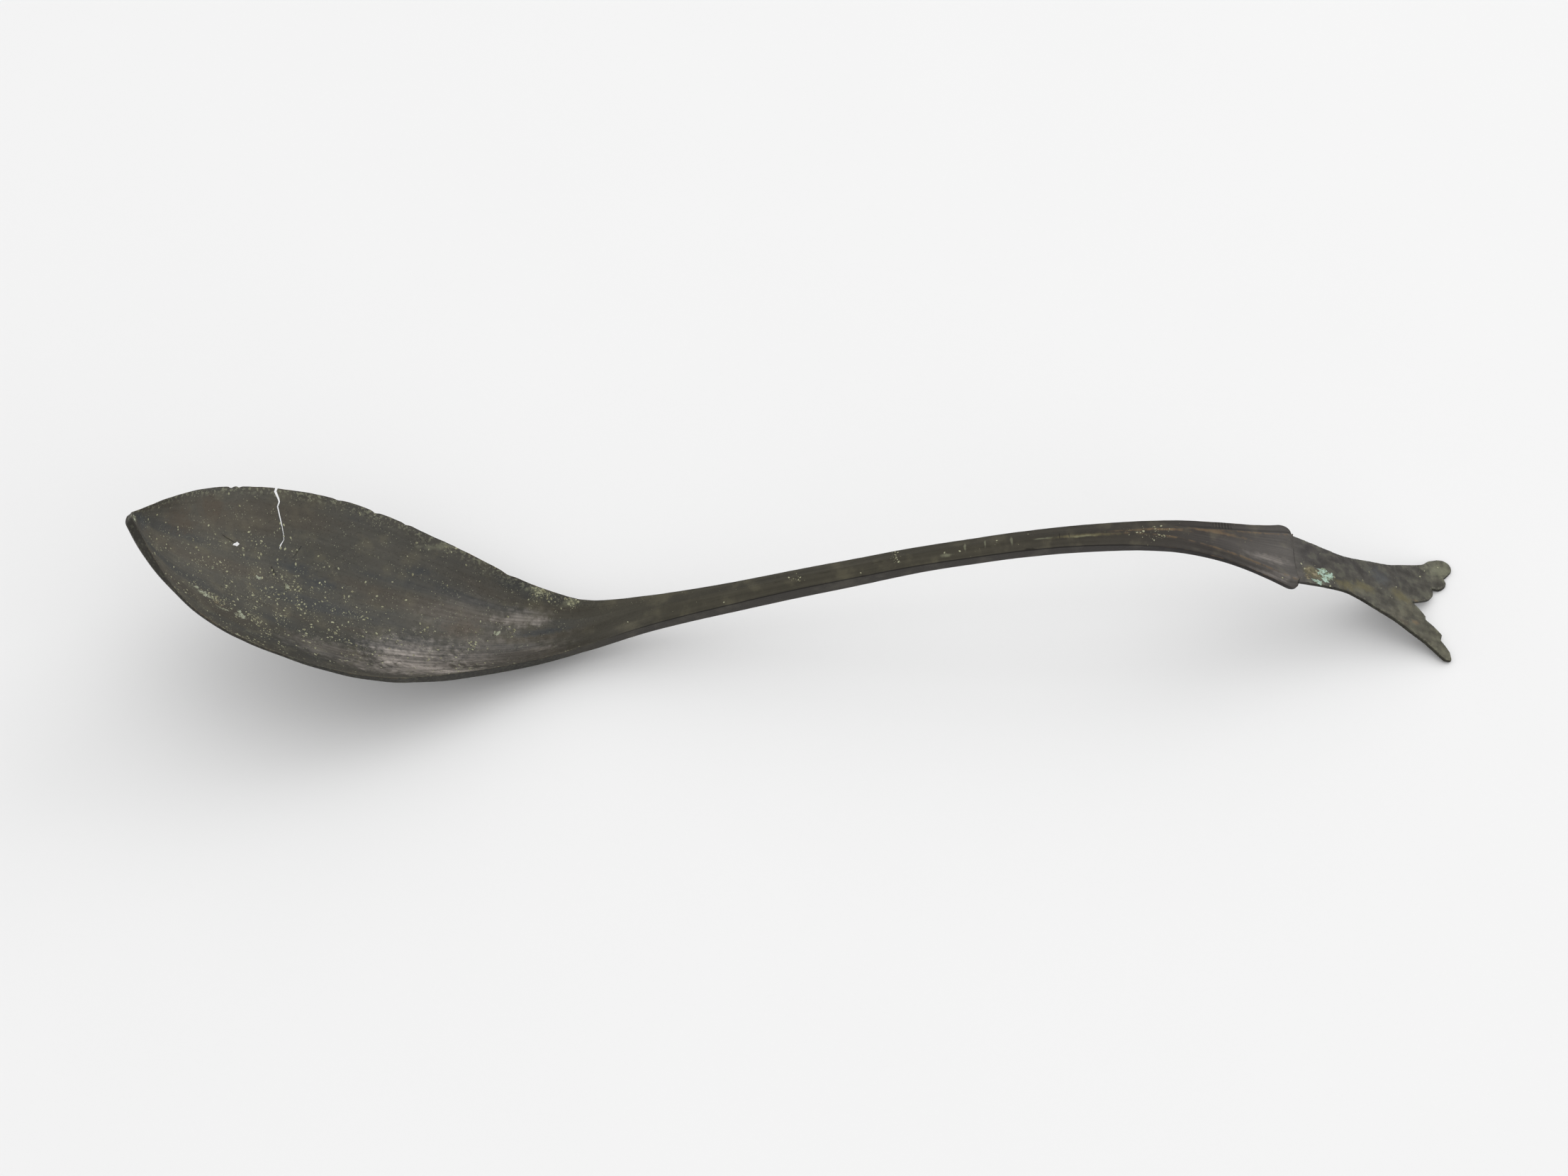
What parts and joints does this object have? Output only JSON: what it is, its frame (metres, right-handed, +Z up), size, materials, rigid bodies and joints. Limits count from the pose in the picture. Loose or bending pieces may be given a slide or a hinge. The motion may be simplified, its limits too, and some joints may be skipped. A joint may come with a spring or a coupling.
{
  "type": "spoon",
  "caption": "Cast bronze table spoon: pointed leaf-shaped dished bowl, slender arched stem, collar with a ridge that splits into two lips, and a forked tail plate, under a dark patina.",
  "frame": {"origin": "on the table, under the middle of the spoon's bounding box", "axes": "+X along the spoon from the bowl to the forked tail, +Y across it, +Z up from the table that it stands on"},
  "size_m": [0.254, 0.0412, 0.0447],
  "materials": {
    "bowl_bronze": "dark grey-brown patina over brushed bronze, with fine lengthwise scratches and pale green specks",
    "stem_bronze": "olive-brown patina, semi-matt, smoother purple-grey sides",
    "collar_bronze": "brushed grey-brown patina with golden ridges",
    "tail_bronze": "blue-grey to olive patina, matt, with crusts of green corrosion"
  },
  "bodies": {
    "root": {"bowl": "bowl_bronze", "stem": "stem_bronze", "collar": "collar_bronze", "tail": "tail_bronze"}
  },
  "joints": []
}
